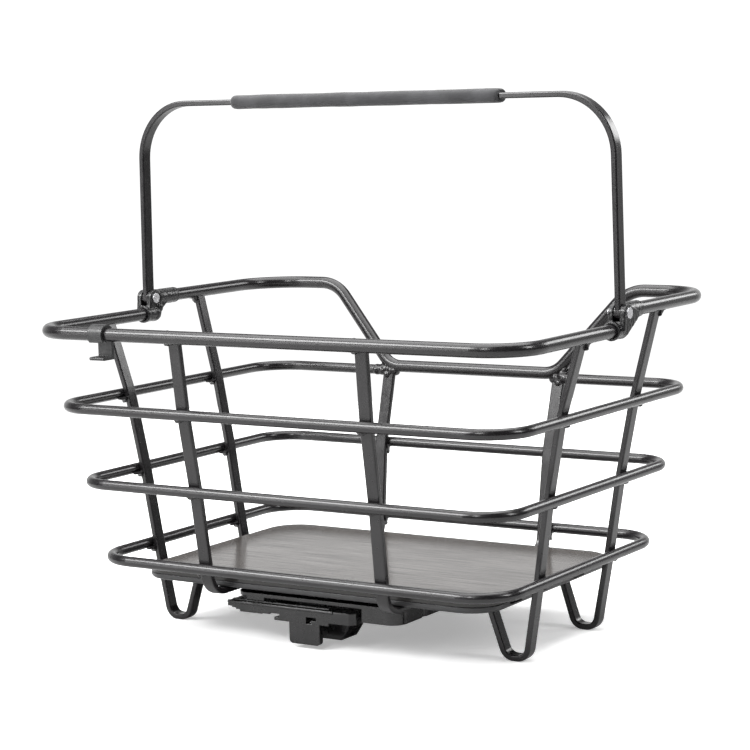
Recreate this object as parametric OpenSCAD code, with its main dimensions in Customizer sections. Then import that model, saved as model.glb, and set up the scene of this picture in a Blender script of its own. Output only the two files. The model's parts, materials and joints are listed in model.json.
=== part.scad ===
// Bicycle luggage basket with a folding carrying handle and a click-on carrier adapter.
// +X runs along the basket's length, -Y is its front and +Z is up from the ground it stands on.
// The origin is on the ground, below the middle of the basket's bounding box.

/* [Rim] */
// Half length of both rim halves, to the rod's centre
rim_half_x = 210; // [206:0.5:214]
// Rim rod diameter
rim_d = 10; // [9:0.5:10]
// Height of the front rim's centreline
front_rim_z = 236; // [235:0.1:236.5]
// Front of the front rim's centreline
front_rim_y = -155.5; // [-160:0.5:-152]
// Corner radius of the front rim
front_rim_r = 34.4; // [25:0.1:45]
// Height of the rear rim's centreline
rear_rim_z = 248.5; // [248:0.1:249.5]
// Back of the rear rim's centreline
rear_rim_y = 158; // [152:0.5:162]
// Corner radius of the rear rim
rear_rim_r = 43.5; // [30:0.5:48]
// Half width of the dip in the back, at its top and at its bottom
dip_half_x = [138, 78]; // [70:1:145]
// How far the dip drops below the rear rim
dip_drop = 67.2; // [60:0.1:70]
// How far the dip's bottom leans in towards the basket
dip_lean = 12.5; // [8:0.1:14]
// Bend radius at the dip's top and bottom corners
dip_r = [32, 22]; // [15:1:34]

/* [Rings] */
// Ring rod diameter
ring_d = 8; // [7:0.5:8]
// Height of the upper, middle and lower ring
ring_z = [178, 119.1, 59.8]; // [50:0.1:185]
// Half length of the upper, middle and lower ring
ring_half_x = [198.1, 186.4, 176.9]; // [170:0.1:204]
// Half width of the upper, middle and lower ring
ring_half_y = [145.6, 135.3, 127.3]; // [120:0.1:150]
// Corner radius of the upper, middle and lower ring
ring_r = [31.7, 29.3, 32]; // [20:0.1:40]
// Middle of all rings, front to back
ring_y = -2.5; // [-4:0.5:-1]
// Where the upper ring's open back ends, from the middle
ring_gap_half_x = 88; // [87:1:95]

/* [Uprights] */
// Width of the flat bars
bar_w = 10; // [8:0.5:11]
// Thickness of the flat bars
bar_t = 4.5; // [4:0.1:4.5]
// Rounding of the flat bars' edges
bar_edge = 1; // [0.5:0.1:1.5]
// Distance of the straps from the line midway between them, under the floor
strap_x = 77; // [76:0.5:78]
// Where the line midway between the straps is, along X
strap_mid_x = 2; // [0:0.5:2.5]
// Outward lean of the straps in degrees
strap_lean = 1.2; // [0:0.1:1.5]
// Height of the straps' centreline under the floor
strap_z = 39.75; // [39.5:0.05:39.8]
// Centreline bend radius at the straps' lower corners
strap_r = 16.25; // [12:0.25:20]
// Distance of the side legs from the rings' middle, at the ground
leg_y = 54.2; // [48:0.1:58]
// Front-to-back lean of the side legs in degrees
leg_lean = 1.25; // [0:0.05:2]
// Sharp corners of a foot's bend, outer and inner
foot_corner_x = [160.2, 143.1]; // [140:0.1:164]
// Where a foot's inner leg meets the tray
foot_inner_x = 129.1; // [120:0.1:135]
// Centreline bend radius of the feet
foot_r = 9; // [6:0.5:9.5]

/* [Floor] */
// Board and tray length
floor_x = 309; // [290:1:315]
// Board and tray width
floor_y = 203; // [190:1:212]
// Middle of the floor, front to back
floor_mid_y = -4.5; // [-6:0.5:-2]
// Corner radius of the floor
floor_r = 25; // [15:1:35]
// Height of the tray's underside
tray_z = 42.15; // [42.15:0.05:42.3]
// Thickness of the tray
tray_t = 4.85; // [4:0.05:6]
// Thickness of the board
board_t = 3; // [2:0.5:5]
// Dark groove between tray and board: height and depth
groove = [0.6, 1.2]; // [0.3:0.1:2]
// Slot in the tray's edge: length and height
tray_slot = [17, 3]; // [2:0.5:20]

/* [Handle] */
// Pivot axis, front to back
pivot_y = -7; // [-7.5:0.1:-6.5]
// Distance of the handle's legs from the middle at the pivot
handle_half_x = 212; // [211.5:0.1:212.5]
// How far each leg leans in between the pivot and the corner
handle_lean = 2; // [0:0.1:4]
// Height of the handle's top bar
handle_z = 404; // [380:1:410]
// Corner radius of the handle
handle_r = 44; // [30:1:60]
// Half length of the foam grip
grip_half_x = 119; // [60:1:130]
// Grip section: front to back and height
grip_size = [16, 10.5]; // [8:0.5:20]
// Pivot rivet diameter
rivet_d = 4; // [3:0.1:4.5]
// Rivet head diameter and height
rivet_head = [8, 1.2]; // [0.8:0.1:9]

/* [Pivot brackets] */
// Lower barrel's diameter and its collar's
lower_barrel_d = [13, 14]; // [12.5:0.1:14]
// Lower barrel's front and back end
lower_barrel_y = [-18.5, -3]; // [-22:0.5:-2]
// Upper barrel's diameter
upper_barrel_d = 12.6; // [12:0.1:13]
// Upper barrel's front and back end
upper_barrel_y = [-1, 24]; // [-1:0.5:30]
// Thickness of each ear
ear_t = 4; // [3:0.1:4.5]
// Radius of the ears about the pivot
ear_r = 6.3; // [6:0.1:6.5]
// Width of the slot between the ears
ear_gap = 5.7; // [5.6:0.1:6]
// Thickness of the washers beside the bar
washer_t = 0.4; // [0.3:0.05:0.4]

/* [Rim hook] */
// Middle of the hook along the front rim
hook_x = -142; // [-150:1:-100]
// Width of the hook
hook_w = 13; // [8:0.5:20]
// Thickness of the hook's band
hook_t = 2.5; // [1.5:0.1:2.8]
// Height of the lip's underside
hook_lip_z = 217; // [210:0.5:220]
// How far the lip reaches forward
hook_lip = 12; // [8:0.5:14]

/* [Carrier adapter] */
// Left and right end of the housing
housing_x = [-71, 75]; // [-76:0.5:80]
// Front and back of the housing
housing_y = [-95.5, 90]; // [-96:0.5:95]
// Top of the housing
housing_top = 37.35; // [37.2:0.05:37.35]
// Thickness of the housing's deck
deck_t = 2.85; // [2:0.05:3]
// Bottom of the housing's walls
housing_bottom = 24.5; // [24:0.1:25]
// Wall thickness of the housing
wall = 2.5; // [2:0.1:3]
// Front of the closed compartment behind the slider
compartment_y = -74; // [-75:0.5:-70]
// Left end of the solid block at the housing's right front
end_block_x = 43; // [38.4:0.1:45]
// Height of the housing's front left wall
front_wall_h = 3.5; // [2:0.1:3.6]
// Corner radius of the housing
housing_r = 11; // [5:1:16]
// Mounting bolts, front and back row
bolt_y = [-60, 55]; // [-70:1:70]
// Mounting bolt shank diameter and head diameter
bolt_d = [4.9, 9.5]; // [4:0.1:10]

/* [Release slider] */
// Left and right end of the slider
slider_x = [-75, 38]; // [-76:0.5:38]
// Front and back of the slider
slider_y = [-99, -80]; // [-100:0.5:-79]
// Bottom and top of the slider
slider_z = [19.5, 30.5]; // [19:0.1:31]
// Thickness of the slider's walls
slider_t = 2.2; // [1.8:0.1:2.4]
// Left end of each hook notch
notch_x = [-37, -4]; // [-50:1:-3]
// Size of a hook notch: length of its foot and height
notch_size = [9, 5]; // [3:0.5:10]
// Release travel of the slider, towards -X
slider_travel = 8; // [4:0.5:8]
// Left and right end of the finger grip
finger_x = [-19.5, 7.5]; // [-20:0.5:10]
// Front and back of the finger grip
finger_y = [-98.5, -94]; // [-99:0.5:-86]
// Bottom of the finger grip
finger_z = 3.5; // [3:0.5:10]
// Left and right end of the locating block
locator_x = [-6, 20]; // [-14:0.5:24]
// Front and back of the locating block
locator_y = [-79, -58]; // [-79:0.5:-50]
// Bottom of the locating block
locator_z = 4.5; // [4:0.5:12]

/* [Hidden] */
$fn = 48;

UPPER = 0;
MIDDLE = 1;
LOWER = 2;
LEFT = -1;
RIGHT = 1;
FRONT = -1;
REAR = 1;

// Gap left between pieces that are welded, glued or clamped together
joint_gap = 0.05;
// Extra length of cutting tools past the faces they cut
over = 1;
// A straight run is thinner than its bends by a hair, and runs a little way into them, so that they fuse
run_scale = 0.998;
run_seat = 0.2;
black = "#2b2b2d";
plastic = "#1d1d1f";

// Distance from a ring's centreline to the centreline of the bars welded inside it
bar_inset = ring_d / 2 + bar_t / 2 + joint_gap;
dip_slope = atan2(dip_lean, dip_drop);
dip_side = norm([dip_lean, dip_drop]);
// Where the rear rim's flat halves meet the leaning dip, along X
dip_join_x = rim_half_x - 50;
// The dip's rod is thinner by a hair, so that it can run into the flat halves
dip_step = 0.02;
rim_end_front_y = lower_barrel_y[1] - 3;
rim_end_rear_y = upper_barrel_y[0] + 3;
slot_floor_z = rear_rim_z - 5.8;
board_z = tray_z + tray_t + joint_gap;
insert_h = 4;
insert_d = 7;
bolt_head_h = 2.8;
bolt_hole_d = bolt_d[0] + 0.5;
ear_reach_x = 87;
ear_half_y = 9;
deck_z = housing_top - deck_t;
channel_z = [slider_z[0] + slider_t, slider_z[1] - slider_t];
front_plate_t = 2.8;
slide_gap = 0.4;
lip_t = 3;
lip_h = 1.8;
neck_gap = lip_h + slide_gap;
spring_x = [8.2, slider_x[1] - slider_t - 0.1];
spring_d = 5;
spring_wire = 0.8;
spring_turns = 7;
spring_y = (slider_y[0] + front_plate_t + slider_y[1] - lip_t) / 2;
spring_z = (channel_z[0] + channel_z[1]) / 2;
tongue_x = [-66, spring_x[0] - 0.2];
cover_t = 2;
cover_screw_x = [-58, 62];
cover_screw_y = [-62, 78];
screw_d = 3;
screw_head = [5.6, 1.4];
boss_d = 8;

// ---- Bending helpers ----

function unit(v) = v / norm(v);

function half_angle(points, i) =
    acos(unit(points[i - 1] - points[i]) * unit(points[i + 1] - points[i])) / 2;

// Distance from a corner to where its bend starts; an end of the path has none
function reach(points, radii, i) =
    i == 0 || i == len(points) - 1 ? 0 : radii[i] / tan(half_angle(points, i));

module straight_run(from, to) {
    along = to - from;
    translate([from.x, from.y, 0])
        rotate([0, 0, atan2(along.y, along.x)])
            rotate([90, 0, 90])
                linear_extrude(norm(along))
                    children();
}

module bend_at(points, i, radius) {
    half = half_angle(points, i);
    into = unit(points[i - 1] - points[i]) + unit(points[i + 1] - points[i]);
    centre = points[i] + unit(into) * radius / sin(half);
    turn = 180 - 2 * half;
    translate([centre.x, centre.y, 0])
        rotate([0, 0, atan2(-into.y, -into.x) - turn / 2])
            rotate_extrude(angle = turn)
                translate([radius, 0])
                    children();
}

// Carries the child, a cross-section, along points in the XY plane, with a round bend at each inner point.
// A section that isn't symmetric needs a path that turns right: its +x side then faces out of the bends.
module bent_along(points, radii) {
    last = len(points) - 1;
    for (i = [0 : last - 1]) {
        way = unit(points[i + 1] - points[i]);
        start = reach(points, radii, i) - (i == 0 ? 0 : run_seat);
        stop = reach(points, radii, i + 1) - (i == last - 1 ? 0 : run_seat);
        straight_run(points[i] + way * start, points[i + 1] - way * stop)
            scale(run_scale)
                children();
    }
    for (i = [1 : last - 1])
        bend_at(points, i, radii[i])
            children();
}

module rod_section(d = ring_d) {
    circle(d = d);
}

// A rod section with flat sides, for bends that lie in a leaning plane
module many_sided_section(d) {
    sides = 36;
    polygon([for (i = [0 : sides - 1]) d / 2 * [cos(360 * i / sides), sin(360 * i / sides)]]);
}

// Rectangle with rounded corners, each corner in three facets
function rounded_rectangle(w, h, r) = [
    for (corner = [0 : 3], step = [0 : 3])
        let (sx = corner == 0 || corner == 3 ? 1 : -1, sy = corner < 2 ? 1 : -1, a = 90 * corner + 30 * step)
            [sx * (w / 2 - r) + r * cos(a), sy * (h / 2 - r) + r * sin(a)]
];

// A flat bar bent across its thin side
module bar_section(grow = 0) {
    polygon(rounded_rectangle(bar_t + 2 * grow, bar_w + 2 * grow, bar_edge));
}

module rounded_plate(size, r, h) {
    linear_extrude(h) {
        square([size.x - 2 * r, size.y], center = true);
        square([size.x, size.y - 2 * r], center = true);
        for (sx = [-1, 1], sy = [-1, 1])
            translate([sx * (size.x / 2 - r), sy * (size.y / 2 - r)])
                circle(r = r);
    }
}

module box(low, high) {
    translate(low)
        cube(high - low);
}

// A cylinder along X or Y through the given start point
module rod_x(at, length, d) {
    translate(at)
        rotate([0, 90, 0])
            cylinder(h = length, d = d);
}

module rod_y(at, length, d) {
    translate(at)
        rotate([-90, 0, 0])
            cylinder(h = length, d = d);
}

// ---- Rim ----

module front_rim() {
    corners = [[-rim_half_x, rim_end_front_y], [-rim_half_x, front_rim_y],
               [rim_half_x, front_rim_y], [rim_half_x, rim_end_front_y]];
    color(black)
        translate([0, 0, front_rim_z])
            bent_along(corners, [0, front_rim_r, front_rim_r, 0])
                rod_section(rim_d);
}

module rear_rim() {
    color(black)
        translate([0, 0, rear_rim_z]) {
            for (side = [LEFT, RIGHT])
                bent_along([[side * rim_half_x, rim_end_rear_y], [side * rim_half_x, rear_rim_y],
                            [side * dip_join_x, rear_rim_y]], [0, rear_rim_r, 0])
                    rod_section(rim_d);
            translate([0, rear_rim_y, 0])
                rotate([90 - dip_slope, 0, 0])
                    bent_along([[-dip_join_x - over, 0], [-dip_half_x[0], 0], [-dip_half_x[1], -dip_side],
                                [dip_half_x[1], -dip_side], [dip_half_x[0], 0], [dip_join_x + over, 0]],
                               [0, dip_r[0], dip_r[1], dip_r[1], dip_r[0], 0])
                        many_sided_section(rim_d - dip_step);
        }
}

// ---- Rings ----

module closed_ring(level) {
    a = ring_half_x[level];
    b = ring_half_y[level];
    r = ring_r[level];
    color(black)
        translate([0, ring_y, ring_z[level]])
            bent_along([[0, b], [a, b], [a, -b], [-a, -b], [-a, b], [0, b]], [0, r, r, r, r, 0])
                rod_section();
}

// The rear rim's dip takes the place of the upper ring's back
module upper_ring() {
    a = ring_half_x[UPPER];
    b = ring_half_y[UPPER];
    r = ring_r[UPPER];
    color(black)
        translate([0, ring_y, ring_z[UPPER]])
            bent_along([[ring_gap_half_x, b], [a, b], [a, -b], [-a, -b], [-a, b], [-ring_gap_half_x, b]],
                       [0, r, r, r, r, 0])
                rod_section();
}

module middle_ring() {
    closed_ring(MIDDLE);
}

module lower_ring() {
    closed_ring(LOWER);
}

// ---- Uprights ----

// Where a bar's centreline passes a ring, as [distance from the ring's middle, height]
function on_ring(half, level) = [half[level] - bar_inset, ring_z[level]];

// Where a strap is along X, under the floor
function strap_at(side) = strap_mid_x + side * strap_x;

// A strap's centreline: down the front, under the floor and up the back, as [y, z].
// Its front end stands inside the front rim and its back end stops below the rear rim's dip.
strap_front = [for (level = [UPPER, MIDDLE, LOWER])
    [ring_y - on_ring(ring_half_y, level)[0], ring_z[level]]];
strap_back = [for (level = [LOWER, MIDDLE])
    [ring_y + on_ring(ring_half_y, level)[0], ring_z[level]]];
strap_top_up = 1;
strap_corner_in = 2;
strap_path = concat(
    [[front_rim_y + rim_d / 2 + bar_t / 2 + joint_gap, front_rim_z + strap_top_up]],
    strap_front,
    [[strap_front[2].x + strap_corner_in, strap_z], [strap_back[0].x - strap_corner_in, strap_z]],
    strap_back,
    [[rear_rim_y - dip_lean, rear_rim_z - dip_drop]]);
// The small kinks at the rings are bent on a large radius
kink_r = 100;
strap_radii = [0, kink_r, kink_r, kink_r, strap_r, strap_r, kink_r, kink_r, 0];

module strap(side) {
    color(black)
        difference() {
            translate([strap_at(side), 0, strap_z])
                rotate([0, side * strap_lean, 0])
                    translate([0, 0, -strap_z])
                        rotate([90, 0, 90])
                            bent_along(strap_path, strap_radii)
                                bar_section();
            rod_x([strap_at(side) - 20, rear_rim_y - dip_lean, rear_rim_z - dip_drop], 40, rim_d + 2 * joint_gap);
            for (y = bolt_y)
                translate([strap_at(side), y, 0])
                    cylinder(h = strap_z + 10, d = bolt_hole_d);
        }
}

module strap_left() {
    strap(LEFT);
}

module strap_right() {
    strap(RIGHT);
}

// A leg's centreline: down the side, round the foot and up to the tray, as [x, z]
function leg_path(rim_z) = concat(
    [[rim_half_x, rim_z]],
    [for (level = [UPPER, MIDDLE, LOWER]) on_ring(ring_half_x, level)],
    [[foot_corner_x[0], bar_t / 2], [foot_corner_x[1], bar_t / 2], [foot_inner_x, tray_z + 2]]);
leg_radii = [0, kink_r, kink_r, kink_r, foot_r, foot_r, 0];
// The leaning foot is sunk by this much and cut level with the ground
foot_sink = bar_w / 2 * sin(leg_lean);

module leg(side, end, rim_z) {
    color(black)
        difference() {
            translate([0, ring_y + end * leg_y, -foot_sink])
                rotate([-end * leg_lean, 0, 0])
                    rotate([90, 0, 0])
                        bent_along([for (p = leg_path(rim_z + foot_sink)) [side * p.x, p.y]], leg_radii)
                            bar_section();
            rod_y([side * rim_half_x, ring_y + end * leg_y - 20, rim_z], 40, rim_d + 2 * joint_gap);
            // Ground plane
            translate([side * (foot_corner_x[0] + foot_corner_x[1]) / 2, ring_y + end * leg_y, -over])
                cube([60, 40, 2 * over], center = true);
            // Tray underside
            translate([side * foot_inner_x, ring_y + end * leg_y, tray_z - joint_gap + 5])
                cube([25, 40, 10], center = true);
        }
}

module leg_front_left() {
    leg(LEFT, FRONT, front_rim_z);
}

module leg_front_right() {
    leg(RIGHT, FRONT, front_rim_z);
}

module leg_rear_left() {
    leg(LEFT, REAR, rear_rim_z);
}

module leg_rear_right() {
    leg(RIGHT, REAR, rear_rim_z);
}

// ---- Pivot brackets ----

ear_inner_x = handle_half_x - ear_gap / 2;
ear_outer_x = handle_half_x + ear_gap / 2;

// The bracket's web between its two barrels, seen from the side
module web_outline() {
    polygon([[lower_barrel_y[0] + 4, front_rim_z], [lower_barrel_y[1] - 6, front_rim_z - 3],
             [lower_barrel_y[1] - 1, front_rim_z], [upper_barrel_y[0] + 5, rear_rim_z - 8],
             [upper_barrel_y[0] + 11, rear_rim_z - 4], [upper_barrel_y[0] + 11, rear_rim_z],
             [upper_barrel_y[0], rear_rim_z + 4], [pivot_y, rear_rim_z], [pivot_y - ear_r, rear_rim_z]]);
}

module pivot_bracket(side) {
    ear_span = 2 * ear_t + ear_gap;
    color("#1b1b1c")
        scale([side, 1, 1])
            difference() {
                union() {
                    rod_y([rim_half_x, lower_barrel_y[0], front_rim_z],
                          lower_barrel_y[1] - lower_barrel_y[0], lower_barrel_d[0]);
                    rod_y([rim_half_x, lower_barrel_y[0], front_rim_z], 2.5, lower_barrel_d[1]);
                    rod_y([rim_half_x, upper_barrel_y[0], rear_rim_z],
                          upper_barrel_y[1] - upper_barrel_y[0], upper_barrel_d);
                    translate([ear_inner_x - ear_t, 0, 0])
                        rotate([90, 0, 90])
                            linear_extrude(ear_span)
                                web_outline();
                    rod_x([ear_inner_x - ear_t, pivot_y, rear_rim_z], ear_span, 2 * ear_r);
                }
                // Sockets for the two rim rods
                rod_y([rim_half_x, lower_barrel_y[0] - over, front_rim_z],
                      rim_end_front_y + joint_gap - lower_barrel_y[0] + over, rim_d + 2 * joint_gap);
                rod_y([rim_half_x, rim_end_rear_y - joint_gap, rear_rim_z],
                      upper_barrel_y[1] - rim_end_rear_y + 2 * over, rim_d + 2 * joint_gap);
                // Slot for the handle's leg, up to the upper barrel's front
                box([ear_inner_x, pivot_y - 12, slot_floor_z], [ear_outer_x, upper_barrel_y[0], rear_rim_z + 12]);
                // Rivet hole
                rod_x([ear_inner_x - ear_t - over, pivot_y, rear_rim_z], ear_span + 2 * over,
                      rivet_d + 2 * joint_gap);
            }
}

module pivot_bracket_left() {
    pivot_bracket(LEFT);
}

module pivot_bracket_right() {
    pivot_bracket(RIGHT);
}

// ---- Floor ----

// Edge of the tray: flat inside and on top, with a rounded lower outer edge and a step for the groove
tray_edge_r = 2.2;
tray_edge_w = 6;
module tray_edge() {
    polygon(concat(
        [[-tray_edge_w, 0]],
        [for (a = [-90 : 15 : 0]) [-tray_edge_r + tray_edge_r * cos(a), tray_edge_r + tray_edge_r * sin(a)]],
        [[0, tray_t - groove[0]], [-groove[1], tray_t - groove[0]], [-groove[1], tray_t], [-tray_edge_w, tray_t]]));
}

module base_tray() {
    a = floor_x / 2;
    b = floor_y / 2;
    r = floor_r;
    slot_depth = 5;
    slot_ends_y = [-72, 25];
    color(plastic)
        difference() {
            translate([0, floor_mid_y, tray_z]) {
                bent_along([[0, b], [a, b], [a, -b], [-a, -b], [-a, b], [0, b]], [0, r, r, r, r, 0])
                    tray_edge();
                rounded_plate([floor_x - 2 * tray_edge_w + 2, floor_y - 2 * tray_edge_w + 2], r - tray_edge_w, tray_t);
            }
            for (side = [LEFT, RIGHT], y = slot_ends_y)
                translate([side * a, y + tray_slot[0] / 2, tray_z + tray_t - tray_slot[1] / 2])
                    cube([2 * slot_depth, tray_slot[0], tray_slot[1] + 0.1], center = true);
            for (side = [LEFT, RIGHT], y = bolt_y)
                translate([strap_at(side), y, tray_z - over])
                    cylinder(h = insert_h + over + 2 * joint_gap, d = insert_d + 2 * joint_gap);
        }
}

module base_board() {
    color("#8d8a86")
        translate([0, floor_mid_y, board_z])
            rounded_plate([floor_x, floor_y], floor_r, board_t);
}

module tray_inserts() {
    color("goldenrod")
        for (side = [LEFT, RIGHT], y = bolt_y)
            translate([strap_at(side), y, tray_z + joint_gap])
                difference() {
                    cylinder(h = insert_h, d = insert_d);
                    translate([0, 0, -over])
                        cylinder(h = insert_h + 2 * over, d = bolt_d[0] + 2 * joint_gap);
                }
}

// ---- Carrier adapter ----

module adapter_housing() {
    size_x = housing_x[1] - housing_x[0];
    size_y = housing_y[1] - housing_y[0];
    mid = [(housing_x[0] + housing_x[1]) / 2, (housing_y[0] + housing_y[1]) / 2];
    wall_h = deck_z - housing_bottom;
    claw_x = [-48, 30];
    claw_w = 20;
    claw_drop = 11;
    claw_t = 4;
    claw_toe = 9;
    color(plastic)
        difference() {
            union() {
                // Deck
                translate([mid.x, mid.y, deck_z])
                    rounded_plate([size_x, size_y], housing_r, deck_t);
                // Bolt ears under the straps
                for (y = bolt_y)
                    box([-ear_reach_x, y - ear_half_y, deck_z], [ear_reach_x, y + ear_half_y, housing_top]);
                // Compartment walls
                translate([0, 0, housing_bottom])
                    intersection() {
                        translate([mid.x, mid.y, 0])
                            rounded_plate([size_x, size_y], housing_r, wall_h + over);
                        union() {
                            box([housing_x[0], compartment_y, 0], [housing_x[1], housing_y[1], wall_h + over]);
                            box([end_block_x, housing_y[0], 0], [housing_x[1], compartment_y + over, wall_h + over]);
                        }
                    }
                // Front left wall beside the slider's slot
                box([housing_x[0] + housing_r, housing_y[0], deck_z - front_wall_h],
                    [housing_x[0] + housing_r + 16, housing_y[0] + wall, deck_z + over]);
                // Stop for the slider's right end, at the back of the gap beside it
                box([slider_x[1] + slide_gap, slider_y[1] - 4, housing_bottom],
                    [end_block_x + over, compartment_y + over, deck_z + over]);
                // Guide tongue: a neck with a thicker head that the slider wraps round
                box([tongue_x[0], slider_y[1] - lip_t - slide_gap - 1, channel_z[0] + neck_gap],
                    [tongue_x[1], compartment_y + over, channel_z[1] - neck_gap]);
                box([tongue_x[0], slider_y[0] + front_plate_t + slide_gap, channel_z[0] + slide_gap],
                    [tongue_x[1], slider_y[1] - lip_t - slide_gap, channel_z[1] - slide_gap]);
                // Rear claws that hook under the carrier's cross bar
                for (x = claw_x) {
                    box([x, housing_y[1] - claw_t, housing_bottom - claw_drop],
                        [x + claw_w, housing_y[1], housing_bottom + over]);
                    box([x, housing_y[1] - claw_t - claw_toe, housing_bottom - claw_drop],
                        [x + claw_w, housing_y[1], housing_bottom - claw_drop + claw_t]);
                }
            }
            // Hollow of the compartment, open below, with the screw bosses left standing
            difference() {
                box([housing_x[0] + wall, compartment_y + wall, housing_bottom - over],
                    [housing_x[1] - wall, housing_y[1] - wall, deck_z]);
                for (x = cover_screw_x, y = cover_screw_y)
                    translate([x, y, housing_bottom + cover_t + 2 * joint_gap])
                        cylinder(h = 20, d = boss_d);
                for (sx = [0, 1])
                    box([sx == 0 ? housing_x[0] : housing_x[1] - housing_r, housing_y[1] - housing_r, housing_bottom],
                        [sx == 0 ? housing_x[0] + housing_r : housing_x[1], housing_y[1], deck_z]);
            }
            // Screw holes
            for (x = cover_screw_x, y = cover_screw_y)
                translate([x, y, housing_bottom])
                    cylinder(h = wall_h - 1, d = screw_d + 2 * joint_gap);
            // Bolt holes, and pockets in the side walls for the bolts' heads
            for (side = [LEFT, RIGHT], y = bolt_y) {
                translate([strap_at(side), y, deck_z - over])
                    cylinder(h = deck_t + 2 * over, d = bolt_hole_d);
                translate([strap_at(side), y, housing_bottom - over])
                    cylinder(h = deck_z - housing_bottom + over, d = bolt_d[1] + 1);
            }
            // Relief in the tongue behind the slider's notches, over the whole travel
            for (x = notch_x)
                box([x - slider_travel - 1, housing_y[0] - 10, channel_z[0]],
                    [x + notch_size[0] + 1, slider_y[1] - lip_t, slider_z[0] + notch_size[1] + 1]);
        }
}

module adapter_cover() {
    gap = 0.2;
    low = [housing_x[0] + wall + gap, compartment_y + wall + gap];
    high = [housing_x[1] - wall - gap, housing_y[1] - housing_r - gap];
    color(plastic)
        difference() {
            box([low.x, low.y, housing_bottom], [high.x, high.y, housing_bottom + cover_t]);
            for (x = cover_screw_x, y = cover_screw_y)
                translate([x, y, housing_bottom - over])
                    cylinder(h = cover_t + 2 * over, d = screw_d + 0.4);
        }
}

module cover_screws() {
    color("silver")
        for (x = cover_screw_x, y = cover_screw_y)
            translate([x, y, housing_bottom - joint_gap]) {
                cylinder(h = 8, d = screw_d);
                difference() {
                    translate([0, 0, -screw_head[1]])
                        cylinder(h = screw_head[1], d = screw_head[0]);
                    translate([0, 0, -screw_head[1] - over])
                        cylinder(h = 0.8 + over, d = 2.2, $fn = 6);
                }
            }
}

// Block under the cover; its front end is lower, to stay below the slider
module locating_block() {
    chamfer = [6, 9];
    step_z = slider_z[0] - 0.4;
    step_y = slider_y[1] + 0.5;
    color(plastic) {
        translate([0, locator_y[1], 0])
            rotate([90, 0, 0])
                linear_extrude(locator_y[1] - locator_y[0])
                    polygon([[locator_x[0], locator_z], [locator_x[1] - chamfer.x, locator_z],
                             [locator_x[1], locator_z + chamfer.y], [locator_x[1], step_z], [locator_x[0], step_z]]);
        box([locator_x[0], max(step_y, compartment_y + wall + 1), step_z - 0.5],
            [locator_x[1], locator_y[1], housing_bottom - joint_gap]);
    }
}

module adapter_bolts() {
    color("silver")
        for (side = [LEFT, RIGHT], y = bolt_y)
            translate([strap_at(side), y, deck_z - joint_gap]) {
                cylinder(h = tray_z + insert_h - deck_z, d = bolt_d[0]);
                difference() {
                    translate([0, 0, -bolt_head_h])
                        cylinder(h = bolt_head_h, d = bolt_d[1]);
                    translate([0, 0, -bolt_head_h - over])
                        cylinder(h = 1.6 + over, d = 3.46, $fn = 6);
                }
            }
}

// Hook notch: open below on its left, with a foot that reaches right
module hook_notch(x) {
    entry_w = notch_size[0] / 2;
    step_h = notch_size[1] / 2;
    box([x, slider_y[0] - over, slider_z[0] - over], [x + entry_w, slider_y[1] + over, slider_z[0] + notch_size[1]]);
    box([x, slider_y[0] - over, slider_z[0] + step_h],
        [x + notch_size[0], slider_y[1] + over, slider_z[0] + notch_size[1]]);
}

// Channel that opens backwards, with lips behind the guide tongue's head
module release_slider() {
    step = [11, 3];
    steps = 3;
    tip = 4;
    raised = [lip_h + slider_t, slider_t];
    raised_x = 16;
    color(plastic)
        difference() {
            box([slider_x[0], slider_y[0], slider_z[0]], [slider_x[1], slider_y[1], slider_z[1]]);
            // Channel and the gap between the lips
            box([slider_x[0] - over, slider_y[0] + front_plate_t, channel_z[0]],
                [slider_x[1] - slider_t, slider_y[1] - lip_t, channel_z[1]]);
            box([slider_x[0] - over, slider_y[1] - lip_t - over, channel_z[0] + lip_h],
                [slider_x[1] - slider_t, slider_y[1] + over, channel_z[1] - lip_h]);
            for (x = notch_x)
                hook_notch(x);
            // Lower edge raised left of the first notch and at the right end
            box([slider_x[0] - over, slider_y[0] - over, slider_z[0] - over],
                [notch_x[0] + over, slider_y[1] + over, slider_z[0] + raised[0]]);
            box([raised_x, slider_y[0] - over, slider_z[0] - over],
                [slider_x[1] + over, slider_y[1] + over, slider_z[0] + raised[1]]);
            // Stepped lower left corner
            for (i = [0 : steps - 1])
                box([slider_x[0] - over, slider_y[0] - over, slider_z[0] - over],
                    [slider_x[0] + (i + 1) * step[0] / steps, slider_y[1] + over,
                     slider_z[0] + raised[0] + (steps - i) * step[1] / steps]);
            // Chamfered upper right corner at the front
            translate([slider_x[1], slider_y[0], 0])
                rotate([0, 0, 45])
                    cube([2 * tip, 2 * tip / sqrt(2), 100], center = true);
        }
}

module release_grip() {
    lower_r = 3;
    color(plastic)
        translate([0, finger_y[1], 0])
            rotate([90, 0, 0])
                linear_extrude(finger_y[1] - finger_y[0])
                    grip_outline(slider_z[0] - joint_gap, lower_r);
}

// Front view of the finger grip up to the given height, with rounded lower corners
module grip_outline(top, r) {
    polygon(concat(
        [[finger_x[1], top], [finger_x[0], top]],
        [for (a = [180 : 15 : 270]) [finger_x[0] + r + r * cos(a), finger_z + r + r * sin(a)]],
        [for (a = [270 : 15 : 360]) [finger_x[1] - r + r * cos(a), finger_z + r + r * sin(a)]]));
}

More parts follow.
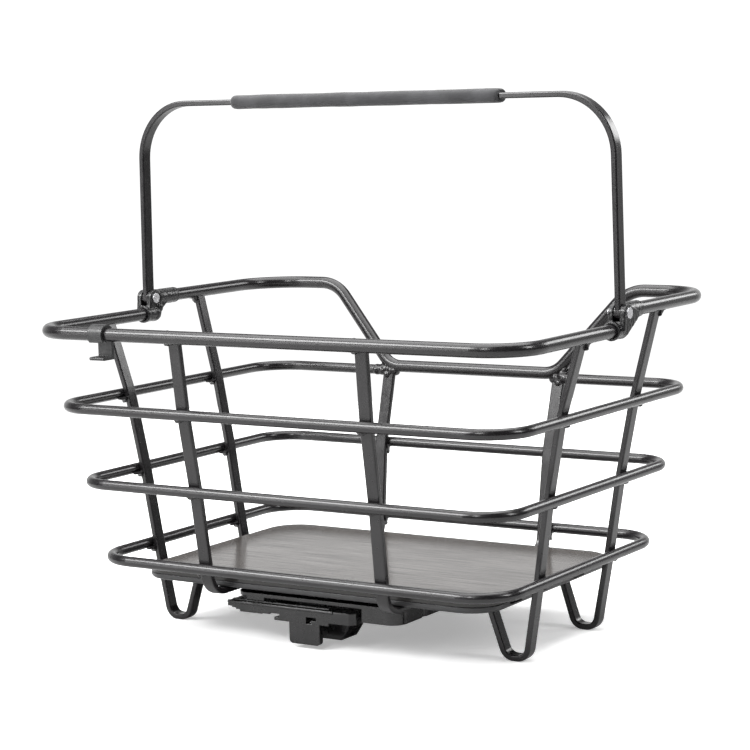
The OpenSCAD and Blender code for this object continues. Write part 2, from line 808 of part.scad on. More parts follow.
// Compression spring between the tongue's end and the slider's end wall
module slider_spring() {
    per_turn = 12;
    sides = 6;
    rings = spring_turns * per_turn;
    coil_r = (spring_d - spring_wire) / 2;
    length = spring_x[1] - spring_x[0] - spring_wire;
    pitch_slope = atan2(length / spring_turns, 2 * PI * coil_r);
    points = [for (i = [0 : rings], j = [0 : sides - 1])
        let (turn = 360 * i / per_turn, round = 360 * j / sides,
             out = coil_r + spring_wire / 2 * cos(round), up = spring_wire / 2 * sin(round))
            [spring_x[0] + spring_wire / 2 + length * i / rings + up * cos(pitch_slope),
             spring_y + out * cos(turn) + up * sin(pitch_slope) * sin(turn),
             spring_z + out * sin(turn) - up * sin(pitch_slope) * cos(turn)]];
    faces = concat(
        [for (i = [0 : rings - 1], j = [0 : sides - 1])
            let (k = (j + 1) % sides)
                each [[i * sides + j, i * sides + k, (i + 1) * sides + k],
                      [i * sides + j, (i + 1) * sides + k, (i + 1) * sides + j]]],
        [for (j = [1 : sides - 2]) each [[0, j + 1, j], [rings * sides, rings * sides + j, rings * sides + j + 1]]]);
    color("silver")
        polyhedron(points, faces);
}

// ---- Handle ----

// The legs stand straight past the brackets before they lean in
handle_straight = 15;
handle_path = [[-handle_half_x, rear_rim_z], [-handle_half_x, rear_rim_z + handle_straight],
               [-handle_half_x + handle_lean, handle_z], [handle_half_x - handle_lean, handle_z],
               [handle_half_x, rear_rim_z + handle_straight], [handle_half_x, rear_rim_z]];

module handle_bar() {
    eye_bore = rivet_d + 0.1;
    eye_d = bar_w + 0.6;
    eye_t = bar_t + 0.1;
    color(black)
        difference() {
            union() {
                translate([0, pivot_y, 0])
                    rotate([90, 0, 0])
                        bent_along(handle_path, [0, kink_r, handle_r, handle_r, kink_r, 0])
                            bar_section();
                for (side = [LEFT, RIGHT])
                    rod_x([side * handle_half_x - eye_t / 2, pivot_y, rear_rim_z], eye_t, eye_d);
            }
            for (side = [LEFT, RIGHT])
                rod_x([side * handle_half_x - bar_t, pivot_y, rear_rim_z], 2 * bar_t, eye_bore);
        }
}

// Stadium section with the bar's shape left free
module grip_section() {
    r = grip_size[1] / 2;
    difference() {
        union() {
            square([grip_size[1], grip_size[0] - 2 * r], center = true);
            for (end = [-1, 1])
                translate([0, end * (grip_size[0] / 2 - r)])
                    circle(r = r);
        }
        bar_section(joint_gap);
    }
}

module handle_grip() {
    color("#3a3a3c")
        translate([0, pivot_y, handle_z])
            rotate([90, 0, 0])
                straight_run([-grip_half_x, 0], [grip_half_x, 0])
                    grip_section();
}

module rivet(side) {
    span = 2 * ear_t + ear_gap;
    color("silver")
        scale([side, 1, 1]) {
            rod_x([ear_inner_x - ear_t - joint_gap, pivot_y, rear_rim_z], span + 2 * joint_gap, rivet_d);
            rod_x([ear_inner_x - ear_t - rivet_head[1], pivot_y, rear_rim_z], rivet_head[1] - joint_gap,
                  rivet_head[0]);
            rod_x([ear_outer_x + ear_t + joint_gap, pivot_y, rear_rim_z], rivet_head[1] - joint_gap,
                  rivet_head[0]);
        }
}

module rivet_left() {
    rivet(LEFT);
}

module rivet_right() {
    rivet(RIGHT);
}

module pivot_washers() {
    washer_d = 10;
    color("silver")
        for (side = [LEFT, RIGHT], face = [-1, 1])
            difference() {
                rod_x([side * handle_half_x + face * (ear_gap / 2 - joint_gap - washer_t / 2) - washer_t / 2,
                       pivot_y, rear_rim_z], washer_t, washer_d);
                rod_x([side * handle_half_x - ear_gap, pivot_y, rear_rim_z], 2 * ear_gap, rivet_d + 2 * joint_gap);
            }
}

// ---- Rim hook ----

// Side outline of the clip: a band over the rim, a stem behind it and a lip that reaches forward
module rim_hook() {
    inner_r = rim_d / 2 + joint_gap;
    outer_r = inner_r + hook_t;
    wrap = 230;
    lip_end_r = hook_t / 2;
    color("#232325")
        translate([hook_x - hook_w / 2, front_rim_y, 0])
            rotate([90, 0, 90]) {
                translate([0, front_rim_z])
                    rotate_extrude(angle = wrap)
                        translate([inner_r, 0])
                            square([hook_t, hook_w]);
                linear_extrude(hook_w) {
                    translate([inner_r, hook_lip_z])
                        square([hook_t, front_rim_z - hook_lip_z]);
                    translate([outer_r - hook_lip, hook_lip_z])
                        square([hook_lip, hook_t]);
                    translate([outer_r - hook_lip, hook_lip_z + lip_end_r])
                        circle(r = lip_end_r);
                }
            }
}

front_rim();
rear_rim();
upper_ring();
middle_ring();
lower_ring();
strap_left();
strap_right();
leg_front_left();
leg_front_right();
leg_rear_left();
leg_rear_right();
pivot_bracket_left();
pivot_bracket_right();
base_tray();
base_board();
tray_inserts();
adapter_housing();
adapter_cover();
locating_block();
adapter_bolts();
cover_screws();
release_slider();
release_grip();
slider_spring();
handle_bar();
handle_grip();
rivet_left();
rivet_right();
pivot_washers();
rim_hook();
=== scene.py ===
import json
import math

import bmesh
import bpy
from mathutils import Matrix, Vector, noise


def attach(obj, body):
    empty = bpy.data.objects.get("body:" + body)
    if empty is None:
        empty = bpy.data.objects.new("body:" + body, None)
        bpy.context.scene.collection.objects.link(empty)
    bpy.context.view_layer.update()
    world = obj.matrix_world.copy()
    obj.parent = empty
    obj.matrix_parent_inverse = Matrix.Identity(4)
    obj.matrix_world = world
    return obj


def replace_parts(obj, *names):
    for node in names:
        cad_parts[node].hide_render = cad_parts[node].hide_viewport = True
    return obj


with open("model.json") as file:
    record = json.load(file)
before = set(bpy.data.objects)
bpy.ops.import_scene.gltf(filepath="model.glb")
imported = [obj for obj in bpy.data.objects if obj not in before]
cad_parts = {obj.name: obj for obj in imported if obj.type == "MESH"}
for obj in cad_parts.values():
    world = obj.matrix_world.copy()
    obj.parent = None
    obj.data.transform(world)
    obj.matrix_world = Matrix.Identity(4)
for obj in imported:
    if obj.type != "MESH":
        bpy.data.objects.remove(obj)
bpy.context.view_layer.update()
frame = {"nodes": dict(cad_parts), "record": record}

# Lengths below are in mm unless a comment says otherwise; meshes are made in metres
MM = 0.001
nodes = frame["nodes"]
record = frame["record"]
# Edges sharper than this stay sharp in the shading of the CAD nodes, in degrees
CAD_SHARP = 34

# Dimensions of the welded frame, as in the CAD
HALF_BAR = 5.0
RIM_RADIUS = 5.0
RING_Y = -2.5
# Height, half length and half width of the upper, middle and lower ring
RINGS = ((178.0, 198.1, 145.6), (119.1, 186.4, 135.3), (59.8, 176.9, 127.3))
# Height, half length and Y of the front rim's and the rear rim's long side
FRONT_RIM = (236.0, 210.0, -155.5)
REAR_RIM = (248.5, 210.0, 158.0)
# The rear rim's dip: half its width at the top and at the bottom, how far it leans forward and how deep it is
DIP_TOP, DIP_BOTTOM, DIP_LEAN, DIP_DROP = 138.0, 78.0, 12.5, 67.2
# The rear rim starts at this Y on each side; then the bend radius at each corner along it
REAR_RIM_START_Y = 2.0
REAR_RIM_BENDS = (0, 43.5, 32, 22, 22, 32, 43.5, 0)
# Foam grip: half its length, its middle, and half its depth and height
GRIP_HALF = 119.0
GRIP_Y, GRIP_Z = -7.0, 404.0
GRIP_HALF_Y, GRIP_HALF_Z = 8.2, 5.4
# Lips of the release slider: Y, Z and radius of each, then its left and right end
SLIDER_LIPS = ((-98.5, 29.9, 1.25, -74.8, 20.0), (-95.4, 31.2, 1.05, -72.0, 15.0))
# Balls that round off a pivot bracket's elbow, on the right side: centre and radius
ELBOW_BALLS = (((210.0, -4.6, 236.0), 6.9), ((208.2, -1.5, 240.5), 5.2), ((211.5, 1.6, 243.6), 5.0))

# The studio, in metres and degrees
FLOOR_RADIUS = 1.3
SOFTBOX_TARGET = Vector((0, 0, 0.15))
# Horizontal direction towards the white wall behind the object
WALL_SIDE = (-0.54, 0.84, 0.0)
# Each softbox: azimuth (0 is +X, counter-clockwise from above), elevation, distance, width, height and radiance
SOFTBOXES = (
    ("softbox_above", 150, 82, 1.6, 2.2, 1.9, 4.6),
    ("softbox_front_left", -126, 37, 1.8, 1.0, 0.55, 19.0),
    ("softbox_front_left_low", -122, 12, 1.8, 0.6, 0.4, 7.0),
    ("softbox_front_left_floor", -122, -3, 1.9, 0.7, 0.22, 6.0),
    ("softbox_left_of_camera", -82, 33, 1.9, 0.25, 0.6, 20.0),
    ("softbox_right", 5, 30, 1.8, 0.3, 0.6, 16.0),
    ("softbox_back_right", 62, 24, 1.9, 0.8, 0.45, 7.0))
CAMERA_AT = (0.93514, -1.46490, 0.40621)
CAMERA_AZIMUTH, CAMERA_PITCH, CAMERA_ROLL = 32.575, 6.97, -1.509
# Focal length and sensor width in mm
CAMERA_LENS, CAMERA_SENSOR = 109.63, 36.0


# ---- Materials ----

def map_range(tree, value, low, high, to_low, to_high):
    """Maps value from low..high to to_low..to_high with soft ends."""
    node = tree.nodes.new("ShaderNodeMapRange")
    node.interpolation_type = "SMOOTHSTEP"
    for key, number in (("From Min", low), ("From Max", high), ("To Min", to_low), ("To Max", to_high)):
        node.inputs[key].default_value = number
    tree.links.new(value, node.inputs["Value"])
    return node.outputs["Result"]


class Finish:
    """A procedural material on a Principled shader, textured in Object coordinates (metres)."""

    def __init__(self, name, roughness, ior=1.5, metallic=0.0):
        self.material = bpy.data.materials.new(name)
        self.material.use_nodes = True
        self.tree = self.material.node_tree
        self.shader = self.tree.nodes["Principled BSDF"]
        self.set(roughness=roughness, ior=ior, metallic=metallic)
        self.coords = self.add("ShaderNodeTexCoord").outputs["Object"]

    def set(self, **values):
        for key, value in values.items():
            socket = {"ior": "IOR", "specular": "Specular IOR Level"}.get(key, key.replace("_", " ").title())
            self.shader.inputs[socket].default_value = value

    def add(self, kind, **settings):
        node = self.tree.nodes.new(kind)
        for key, value in settings.items():
            setattr(node, key, value)
        return node

    def link(self, output, target):
        self.tree.links.new(output, target)

    def grain(self, scale, stretch=(1, 1, 1), detail=2.0, roughness=0.5):
        """Noise from 0 to 1; stretch multiplies its frequency along each axis."""
        mapping = self.add("ShaderNodeMapping")
        mapping.inputs["Scale"].default_value = stretch
        self.link(self.coords, mapping.inputs["Vector"])
        texture = self.add("ShaderNodeTexNoise")
        texture.inputs["Scale"].default_value = scale
        texture.inputs["Detail"].default_value = detail
        texture.inputs["Roughness"].default_value = roughness
        self.link(mapping.outputs["Vector"], texture.inputs["Vector"])
        return texture.outputs["Fac"]

    def spread(self, value, low, high, to_low=0.0, to_high=1.0):
        return map_range(self.tree, value, low, high, to_low, to_high)

    def multiply(self, a, b):
        node = self.add("ShaderNodeMath", operation="MULTIPLY")
        self.link(a, node.inputs[0])
        self.link(b, node.inputs[1])
        return node.outputs["Value"]

    def blend(self, factor, a, b):
        """Mixes colours a and b, each a tuple or a node's output."""
        node = self.add("ShaderNodeMix", data_type="RGBA")
        self.link(factor, node.inputs["Factor"])
        for socket, colour in ((node.inputs[6], a), (node.inputs[7], b)):
            if isinstance(colour, tuple):
                socket.default_value = (*colour, 1.0)
            else:
                self.link(colour, socket)
        return node.outputs[2]

    def rounded_normal(self, radius):
        node = self.add("ShaderNodeBevel", samples=6)
        node.inputs["Radius"].default_value = radius
        return node.outputs["Normal"]

    def edge_mask(self, rounded):
        """1 on sharp edges, 0 on flat faces."""
        geometry = self.add("ShaderNodeNewGeometry")
        dot = self.add("ShaderNodeVectorMath", operation="DOT_PRODUCT")
        self.link(rounded, dot.inputs[0])
        self.link(geometry.outputs["Normal"], dot.inputs[1])
        return self.spread(dot.outputs["Value"], 0.97, 0.75)

    def bump(self, height, strength, distance, normal=None):
        node = self.add("ShaderNodeBump")
        node.inputs["Strength"].default_value = strength
        node.inputs["Distance"].default_value = distance
        self.link(height, node.inputs["Height"])
        if normal is not None:
            self.link(normal, node.inputs["Normal"])
        return node.outputs["Normal"]


def coated(name, dark, light, roughness, grain, depth, edge, worn=None, metallic=0.0, vary=0.06):
    """A moulded, cast, coated or plated surface with a fine texture and slightly worn edges."""
    finish = Finish(name, roughness, metallic=metallic)
    colour = finish.blend(finish.spread(finish.grain(45, detail=4.0), 0.35, 0.65), dark, light)
    rounded = finish.rounded_normal(edge) if edge else None
    if worn:
        uneven = finish.spread(finish.grain(160, detail=4.0), 0.4, 0.75)
        rubbed = finish.multiply(finish.edge_mask(rounded), uneven)
        colour = finish.blend(rubbed, colour, worn)
    finish.link(colour, finish.shader.inputs["Base Color"])
    patches = finish.spread(finish.grain(grain / 12, detail=3.0), 0.3, 0.7, roughness - vary, roughness + vary)
    finish.link(patches, finish.shader.inputs["Roughness"])
    finish.link(finish.bump(finish.grain(grain), 0.6, depth, rounded), finish.shader.inputs["Normal"])
    return finish.material


def laminate(name):
    """Wood laminate with its grain along X, under a satin film, with painted shade that darkens its sides and
    underside.
    """
    finish = Finish(name, 0.15, 1.4)
    streaks = finish.grain(1.0, (14, 380, 60), detail=6.0, roughness=0.7)
    fine = finish.grain(1.0, (45, 2400, 300), detail=3.0)
    colour = finish.blend(finish.spread(streaks, 0.38, 0.62), (0.045, 0.0405, 0.038), (0.104, 0.096, 0.09))
    colour = finish.blend(finish.spread(fine, 0.5, 0.75), colour, (0.03, 0.027, 0.025))
    # Painted shade: faces that do not face upwards, the board's sides and underside, are coloured near black
    upward = finish.add("ShaderNodeSeparateXYZ")
    finish.link(finish.add("ShaderNodeNewGeometry").outputs["Normal"], upward.inputs["Vector"])
    colour = finish.blend(finish.spread(upward.outputs["Z"], 0.5, 0.9), (0.02, 0.019, 0.018), colour)
    finish.link(colour, finish.shader.inputs["Base Color"])
    finish.link(finish.spread(streaks, 0.35, 0.65, 0.22, 0.1), finish.shader.inputs["Roughness"])
    finish.link(finish.bump(fine, 0.5, 0.00004, finish.rounded_normal(0.0006)), finish.shader.inputs["Normal"])
    return finish.material


def foam(name):
    """Closed-cell foam sleeve."""
    finish = Finish(name, 0.85, 1.4)
    cells = finish.add("ShaderNodeTexVoronoi")
    cells.inputs["Scale"].default_value = 1500
    finish.link(finish.coords, cells.inputs["Vector"])
    colour = finish.blend(finish.spread(finish.grain(55, detail=5.0), 0.35, 0.65),
                          (0.034, 0.034, 0.036), (0.052, 0.052, 0.055))
    finish.link(colour, finish.shader.inputs["Base Color"])
    finish.set(sheen_weight=0.25, sheen_roughness=0.5)
    lumps = finish.bump(finish.grain(170, detail=4.0), 0.5, 0.0004)
    finish.link(finish.bump(cells.outputs["Distance"], 0.5, 0.0002, lumps), finish.shader.inputs["Normal"])
    return finish.material


materials = {
    # name: dark and light colour, roughness, grain, its depth in metres, rounding of edges in metres
    "powder_coat": coated("powder_coat", (0.0085, 0.0078, 0.0085), (0.0125, 0.0115, 0.0125), 0.25,
                          2600, 0.000004, None, vary=0.025),
    "cast_black": coated("cast_black", (0.006, 0.006, 0.0065), (0.011, 0.011, 0.0115), 0.3,
                         1400, 0.00003, 0.0008, worn=(0.04, 0.04, 0.04)),
    "tray_plastic": coated("tray_plastic", (0.016, 0.016, 0.017), (0.023, 0.023, 0.024), 0.36,
                           2600, 0.000015, 0.0006),
    "board_laminate": laminate("board_laminate"),
    "insert_brass": coated("insert_brass", (0.55, 0.42, 0.17), (0.68, 0.53, 0.24), 0.32,
                           2500, 0.00004, 0.0003, metallic=1.0),
    "adapter_plastic": coated("adapter_plastic", (0.008, 0.0077, 0.008), (0.013, 0.0125, 0.013), 0.24,
                              2200, 0.000008, 0.0009, worn=(0.09, 0.09, 0.09)),
    "hook_plastic": coated("hook_plastic", (0.012, 0.012, 0.0125), (0.019, 0.019, 0.0195), 0.36,
                           2400, 0.00001, 0.0006),
    "plain_steel": coated("plain_steel", (0.5, 0.5, 0.51), (0.66, 0.66, 0.68), 0.3,
                          2600, 0.00003, 0.0003, metallic=1.0),
    "rivet_metal": coated("rivet_metal", (0.72, 0.72, 0.74), (0.85, 0.85, 0.87), 0.34,
                          2600, 0.00003, 0.0003, metallic=1.0),
    "foam": foam("foam"),
}


def finish_with(piece, slot):
    piece.data.materials.clear()
    piece.data.materials.append(materials[slot])


for entry in record["subparts"]:
    piece = nodes[entry["node"]]
    finish_with(piece, entry["material_slot"])
    piece.data.shade_smooth()
    piece.data.set_sharp_from_angle(angle=math.radians(CAD_SHARP))
    even = piece.modifiers.new("even_shading", "WEIGHTED_NORMAL")
    even.keep_sharp = True


# ---- Pieces made here ----

def piece_from(name, mesh_data, slot, body, smooth=40):
    """Turns a bmesh into a visible piece that moves with one body."""
    mesh = bpy.data.meshes.new(name)
    mesh_data.to_mesh(mesh)
    mesh_data.free()
    piece = bpy.data.objects.new(name, mesh)
    bpy.context.scene.collection.objects.link(piece)
    mesh.shade_smooth()
    mesh.set_sharp_from_angle(angle=math.radians(smooth))
    finish_with(piece, slot)
    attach(piece, body)
    return piece


def loft(data, rings):
    """Joins rings of vertices into a closed skin with flat ends."""
    count = len(rings[0])
    for a, b in zip(rings, rings[1:]):
        for j in range(count):
            data.faces.new((a[j], a[(j + 1) % count], b[(j + 1) % count], b[j]))
    data.faces.new(list(reversed(rings[0])))
    data.faces.new(rings[-1])


def strap_x(side, z):
    """X of a strap's middle at height z; the straps spread towards the rim."""
    return 2.0 + side * (77.0 + math.tan(math.radians(1.2)) * (z - 39.75))


def leg_y(end, z):
    """Y of a leg's middle at height z."""
    return RING_Y + end * (54.2 + math.tan(math.radians(1.25)) * z)


def weld_web(data, corner, along, inward, size, thickness, seed):
    """A small concave fillet between a rod's underside and a bar's side edge, its right angle at corner."""
    down = Vector((0, 0, -1))
    across = inward.normalized()
    wide, tall = size
    outline = [(0.0, -1.5), (wide, -1.5), (wide, 0.3)]
    steps = 6
    for i in range(1, steps):
        a = math.radians(90 * i / steps)
        outline.append((wide - wide * math.sin(a) * 0.93, 0.3 + (tall - 0.3) * (1 - math.cos(a))))
    outline += [(0.6, tall), (-1.2, tall), (-1.2, -1.5)]
    layers = []
    half = thickness / 2
    for offset, shrink in ((-half, 0.75), (-half * 0.6, 0.95), (0.0, 1.0), (half * 0.6, 0.95), (half, 0.75)):
        ring = []
        for u, v in outline:
            wobble = noise.noise(Vector((u, v, offset + seed * 7.3)) * 0.55) * 0.7
            reach = along * (u * shrink + wobble * 0.6) + down * (v * shrink + wobble) + across * offset
            ring.append(data.verts.new(corner + reach * MM))
        layers.append(ring)
    loft(data, layers)


def weld_group(name, spots, size, thickness):
    """One piece per bar, with a web at each of its crossings."""
    data = bmesh.new()
    for seed, (corner, along, inward) in enumerate(spots):
        weld_web(data, Vector(corner) * MM, Vector(along), Vector(inward), size, thickness, seed + len(name))
    bmesh.ops.remove_doubles(data, verts=data.verts, dist=1e-7)
    bmesh.ops.recalc_face_normals(data, faces=data.faces)
    return piece_from(name, data, "powder_coat", "frame", smooth=50)


def fused_piece(name, data, slot, body, cell, settling, rough, pitch):
    """Fuses overlapping solids into one skin, smooths it a little and makes it slightly uneven."""
    mesh = bpy.data.meshes.new(name + "_solids")
    data.to_mesh(mesh)
    data.free()
    helper = bpy.data.objects.new(name + "_helper", mesh)
    bpy.context.scene.collection.objects.link(helper)
    remesh = helper.modifiers.new("fuse", "REMESH")
    remesh.mode = "VOXEL"
    remesh.voxel_size = cell
    smooth = helper.modifiers.new("settle", "SMOOTH")
    smooth.iterations = settling
    fused = bpy.data.meshes.new_from_object(helper.evaluated_get(bpy.context.evaluated_depsgraph_get()))
    bpy.data.objects.remove(helper)
    data = bmesh.new()
    data.from_mesh(fused)
    data.normal_update()
    moves = [vert.normal * noise.noise(vert.co * pitch) * rough for vert in data.verts]
    for vert, move in zip(data.verts, moves):
        vert.co += move
    return piece_from(name, data, slot, body, smooth=60)


def lumpy(name, balls, cell=0.0004, rough=0.0006, pitch=420):
    """Weld bead of balls (centre and radius) fused into one lump; cell and rough are in metres."""
    data = bmesh.new()
    for centre, radius in balls:
        bmesh.ops.create_icosphere(data, subdivisions=3, radius=radius * MM,
                                   matrix=Matrix.Translation(Vector(centre) * MM))
    return fused_piece(name, data, "powder_coat", "frame", cell, 4, rough, pitch)


for side, label in ((-1, "left"), (1, "right")):
    # Strap welds: beads under the front rings, on the bar's face, and webs beside it at the back
    for z, _, half_y in RINGS:
        x, y = strap_x(side, z), RING_Y - half_y
        lumpy(f"weld_strap_{label}_front_{z:.0f}", [
            ((x - 5.2, y + 3.6, z - 4.2), 1.7), ((x - 3.4, y + 2.8, z - 4.6), 1.9),
            ((x - 1.2, y + 2.8, z - 4.6), 1.8), ((x + 0.4, y + 3.0, z - 4.2), 1.4)])
    z, _, y = FRONT_RIM
    x = strap_x(side, z)
    lumpy(f"weld_strap_{label}_rim", [
        ((x - 5.0, y + 4.6, z - 5.0), 1.9), ((x - 4.8, y + 6.2, z - 2.0), 1.8),
        ((x - 4.8, y + 6.4, z + 1.5), 1.8), ((x - 4.8, y + 5.8, z + 3.2), 1.6),
        ((x - 2.6, y + 3.6, z - 5.4), 1.5)])
    spots = []
    for z, _, half_y in RINGS[1:]:
        spots.append(((strap_x(side, z) + HALF_BAR, RING_Y + half_y - 4.6, z - 2.8), (1, 0, 0), (0, 1, 0)))
    weld_group(f"weld_strap_{label}_rear", spots, (3.2, 6.5), 4.0)
    # Leg welds
    for end, where in ((-1, "front"), (1, "rear")):
        spots = []
        for z, half_x, _ in RINGS:
            edge_y = leg_y(end, z) + side * HALF_BAR
            spots.append(((side * (half_x - 4.6), edge_y, z - 3.4), (0, side, 0), (1, 0, 0)))
        weld_group(f"weld_leg_{where}_{label}", spots, (7.5, 3.4), 4.6)
        z, x, _ = FRONT_RIM if end == -1 else REAR_RIM
        weld_group(f"weld_leg_{where}_{label}_rim",
                   [((side * (x - 0.3), leg_y(end, z) + side * HALF_BAR, z - 4.4), (0, side, 0), (1, 0, 0))],
                   (9.0, 5.0), 4.6)

    # One lump that joins the dip, the upper ring's end and the strap's top
    x = strap_x(side, RINGS[0][0])
    ring_end = side * 88.0
    start = Vector((x - side * 4.5, 145.2, 177.6))
    end = Vector((ring_end + side * 1.5, 143.6, 178.0))
    bead = [(start.lerp(end, i / 6), 4.7 + 0.35 * math.sin(2.1 * i)) for i in range(7)]
    bead += [((x + side * 1.0, 142.6, 174.2), 3.6), ((x + side * 3.0, 145.4, 181.0), 4.2),
             ((x + side * 4.6, 146.0, 184.0), 3.8)]
    lumpy(f"weld_dip_{label}", bead, cell=0.0007, pitch=260)


def bent_path(corners, radii, step=3.0):
    """Points and tangents along a path, with a round bend at each inner corner, in steps of step degrees."""
    corners = [Vector(c) for c in corners]
    path = [(corners[0], (corners[1] - corners[0]).normalized())]
    for i in range(1, len(corners) - 1):
        back = (corners[i - 1] - corners[i]).normalized()
        ahead = (corners[i + 1] - corners[i]).normalized()
        half = back.angle(ahead) / 2
        start = corners[i] + back * radii[i] / math.tan(half)
        centre = corners[i] + (back + ahead).normalized() * radii[i] / math.sin(half)
        turn = math.pi - 2 * half
        count = max(4, math.ceil(math.degrees(turn) / step))
        for k in range(count + 1):
            a = turn * k / count
            point = centre + (start - centre) * math.cos(a) - back * radii[i] * math.sin(a)
            tangent = (centre - start).normalized() * math.sin(a) - back * math.cos(a)
            path.append((point, tangent.normalized()))
    path.append((corners[-1], (corners[-1] - corners[-2]).normalized()))
    return path


def swept_rod(name, path, radius, slot, body, sides=40):
    """A round rod along a path, its section carried without twisting."""
    data = bmesh.new()
    across = path[0][1].orthogonal().normalized()
    rings = []
    for point, tangent in path:
        across = (across - tangent * across.dot(tangent)).normalized()
        up = tangent.cross(across)
        around = [math.tau * j / sides for j in range(sides)]
        rings.append([data.verts.new((point + (across * math.cos(a) + up * math.sin(a)) * radius) * MM)
                      for a in around])
    loft(data, rings)
    bmesh.ops.recalc_face_normals(data, faces=data.faces)
    return piece_from(name, data, slot, body)


rear_z, rear_x, rear_y = REAR_RIM
rear_corners = [(-rear_x, REAR_RIM_START_Y, rear_z), (-rear_x, rear_y, rear_z), (-DIP_TOP, rear_y, rear_z),
                (-DIP_BOTTOM, rear_y - DIP_LEAN, rear_z - DIP_DROP)]
rear_corners += [(-x, y, z) for x, y, z in reversed(rear_corners)]
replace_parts(swept_rod("smooth_rear_rim", bent_path(rear_corners, REAR_RIM_BENDS), RIM_RADIUS,
                      "powder_coat", "frame"), "rear_rim")


def stadium_ring(centre, half_y, half_z, count):
    """Points round a flattened oval in the YZ plane."""
    points = []
    for i in range(count):
        a = math.tau * i / count
        c, s = math.cos(a), math.sin(a)
        y = math.copysign(abs(c) ** 0.8, c) * half_y
        z = math.copysign(abs(s) ** 0.9, s) * half_z
        points.append(centre + Vector((0, y, z)))
    return points


def foam_grip():
    """Foam sleeve round the handle's bar, a little uneven, with rounded ends that hug the bar."""
    data = bmesh.new()
    half = GRIP_HALF
    # X and scale of each section: a rounded end, the straight middle and the other end
    rounded_end = [(-half + 0.6, 0.55), (-half, 0.72), (-half + 0.3, 0.86),
                   (-half + 1.3, 0.96), (-half + 3.0, 1.0)]
    steps = 116
    middle = [(-half + 3.0 + (2 * half - 6.0) * i / steps, 1.0) for i in range(1, steps)]
    profile = rounded_end + middle + [(-x, k) for x, k in reversed(rounded_end)]
    rings = []
    for x, k in profile:
        centre = Vector((x, GRIP_Y, GRIP_Z))
        ring = []
        for point in stadium_ring(centre, GRIP_HALF_Y * k, GRIP_HALF_Z * k, 40):
            swell = noise.noise(point * 0.045) * 0.28 + noise.noise(point * 0.16) * 0.1
            ring.append(data.verts.new((point + (point - centre).normalized() * swell * min(1.0, k)) * MM))
        rings.append(ring)
    loft(data, rings)
    bmesh.ops.recalc_face_normals(data, faces=data.faces)
    grip = piece_from("foam_grip", data, "foam", "handle", smooth=60)
    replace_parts(grip, "handle_grip")


foam_grip()


def prism_along_x(data, outline, x0, x1):
    """A straight bar along X with the given (y, z) outline."""
    loft(data, [[data.verts.new(Vector((x, y, z)) * MM) for y, z in outline] for x in (x0, x1)])


def slider_lip():
    """The double rounded lip along the top front edge of the release slider."""
    data = bmesh.new()
    for y, z, radius, x0, x1 in SLIDER_LIPS:
        outline = [(y + radius * math.cos(a), z + radius * math.sin(a))
                   for a in (math.tau * j / 24 for j in range(24))]
        prism_along_x(data, outline, x0, x1)
    bmesh.ops.recalc_face_normals(data, faces=data.faces)
    piece_from("slider_lip", data, "adapter_plastic", "slider", smooth=40)


slider_lip()


def cast_bracket(node, side):
    """The pivot bracket as cast: rounded edges, a domed elbow and a slightly uneven skin."""
    data = bmesh.new()
    data.from_mesh(nodes[node].data)
    for centre, radius in ELBOW_BALLS:
        spot = Vector((side * centre[0], centre[1], centre[2])) * MM
        bmesh.ops.create_icosphere(data, subdivisions=3, radius=radius * MM, matrix=Matrix.Translation(spot))
    return fused_piece(f"cast_{node}", data, "cast_black", "frame", 0.00035, 3, 0.0002, 500)


for side, node in ((-1, "pivot_bracket_left"), (1, "pivot_bracket_right")):
    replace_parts(cast_bracket(node, side), node)


# ---- Studio ----

def floor():
    """A pale paper floor."""
    data = bmesh.new()
    bmesh.ops.create_circle(data, cap_ends=True, segments=96, radius=FLOOR_RADIUS)
    mesh = bpy.data.meshes.new("studio_floor")
    data.to_mesh(mesh)
    data.free()
    ground = bpy.data.objects.new("studio_floor", mesh)
    bpy.context.scene.collection.objects.link(ground)
    paper = Finish("studio_paper", 0.9)
    # The object sees a greyer floor than the camera does, as under a retouched white background
    seen = paper.add("ShaderNodeLightPath").outputs["Is Camera Ray"]
    white = paper.blend(paper.grain(3.0), (0.90, 0.90, 0.90), (0.91, 0.91, 0.91))
    paper.link(paper.blend(seen, (0.6, 0.6, 0.6), white), paper.shader.inputs["Base Color"])
    glow = paper.blend(seen, (0.0, 0.0, 0.0), (0.36, 0.36, 0.36))
    paper.link(glow, paper.shader.inputs["Emission Color"])
    paper.set(specular=0.0, emission_strength=1.0)
    ground.data.materials.append(paper.material)


def softbox(name, at, target, size_x, size_y, radiance):
    """A rectangular lamp aimed at target, bright in proportion to its area."""
    light = bpy.data.lights.new(name, "AREA")
    light.shape = "RECTANGLE"
    light.size = size_x
    light.size_y = size_y
    light.energy = radiance * math.pi * size_x * size_y
    lamp = bpy.data.objects.new(name, light)
    bpy.context.scene.collection.objects.link(lamp)
    lamp.location = at
    lamp.rotation_euler = (Vector(target) - Vector(at)).to_track_quat("-Z", "Y").to_euler()


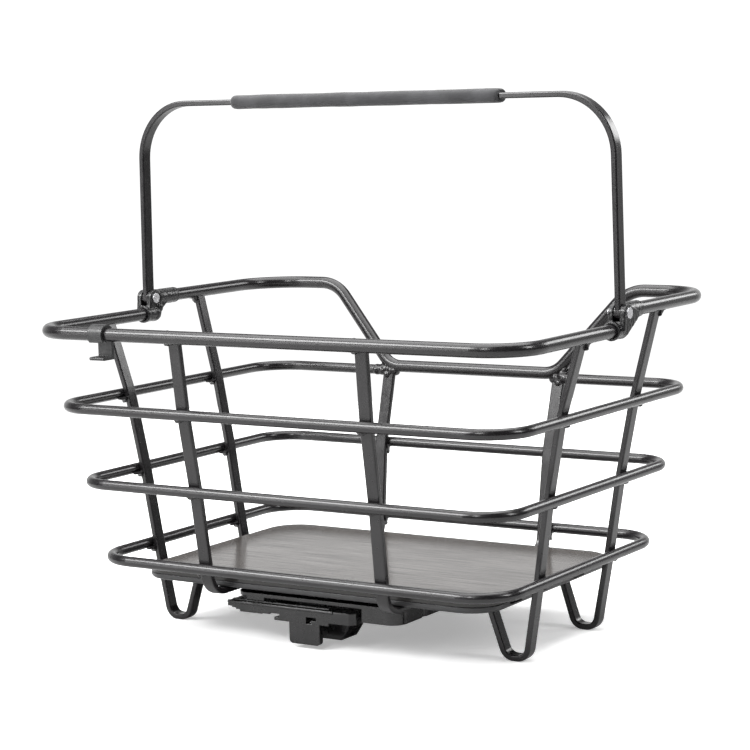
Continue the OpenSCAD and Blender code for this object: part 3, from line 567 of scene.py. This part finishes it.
def surroundings():
    """White beyond the floor, but dim on the camera's side, as in a studio with one white wall."""
    world = bpy.data.worlds.new("studio_world")
    bpy.context.scene.world = world
    world.use_nodes = True
    tree = world.node_tree
    backdrop = tree.nodes["Background"]
    backdrop.inputs["Color"].default_value = (1.0, 1.0, 1.0, 1.0)
    direction = tree.nodes.new("ShaderNodeTexCoord").outputs["Generated"]
    dot = tree.nodes.new("ShaderNodeVectorMath")
    dot.operation = "DOT_PRODUCT"
    tree.links.new(direction, dot.inputs[0])
    dot.inputs[1].default_value = WALL_SIDE
    height = tree.nodes.new("ShaderNodeSeparateXYZ")
    tree.links.new(direction, height.inputs["Vector"])
    low = map_range(tree, height.outputs["Z"], 0.2, 0.5, 1.0, 0.2)
    fade = map_range(tree, dot.outputs["Value"], 0.1, 0.95, 0.08, 1.0)
    seen = tree.nodes.new("ShaderNodeLightPath")
    pick = tree.nodes.new("ShaderNodeMix")
    tree.links.new(seen.outputs["Is Camera Ray"], pick.inputs["Factor"])
    lit = tree.nodes.new("ShaderNodeMath")
    lit.operation = "MULTIPLY"
    tree.links.new(fade, lit.inputs[0])
    tree.links.new(low, lit.inputs[1])
    tree.links.new(lit.outputs["Value"], pick.inputs["A"])
    pick.inputs["B"].default_value = 1.1
    tree.links.new(pick.outputs["Result"], backdrop.inputs["Strength"])


floor()
for name, azimuth, elevation, distance, wide, high, radiance in SOFTBOXES:
    turn, rise = math.radians(azimuth), math.radians(elevation)
    way = Vector((math.cos(turn) * math.cos(rise), math.sin(turn) * math.cos(rise), math.sin(rise)))
    softbox(name, way * distance + SOFTBOX_TARGET, SOFTBOX_TARGET, wide, high, radiance)
surroundings()


def camera():
    """A camera turned by azimuth from -Y towards +X, pitched down and rolled."""
    azimuth, pitch, roll = (math.radians(a) for a in (CAMERA_AZIMUTH, CAMERA_PITCH, CAMERA_ROLL))
    right = Vector((math.cos(azimuth), math.sin(azimuth), 0))
    level = math.cos(pitch)
    forward = Vector((-math.sin(azimuth) * level, math.cos(azimuth) * level, -math.sin(pitch)))
    up = right.cross(forward)
    rolled_right = right * math.cos(roll) + up * math.sin(roll)
    rolled_up = up * math.cos(roll) - right * math.sin(roll)
    data = bpy.data.cameras.new("photo_camera")
    data.lens = CAMERA_LENS
    data.sensor_width = CAMERA_SENSOR
    data.clip_start = 0.05
    data.clip_end = 200.0
    eye = bpy.data.objects.new("photo_camera", data)
    bpy.context.scene.collection.objects.link(eye)
    matrix = Matrix((rolled_right, rolled_up, -forward)).transposed().to_4x4()
    matrix.translation = Vector(CAMERA_AT)
    eye.matrix_world = matrix
    bpy.context.scene.camera = eye


camera()
bpy.context.scene.view_settings.view_transform = "Standard"
bpy.context.scene.view_settings.look = "None"
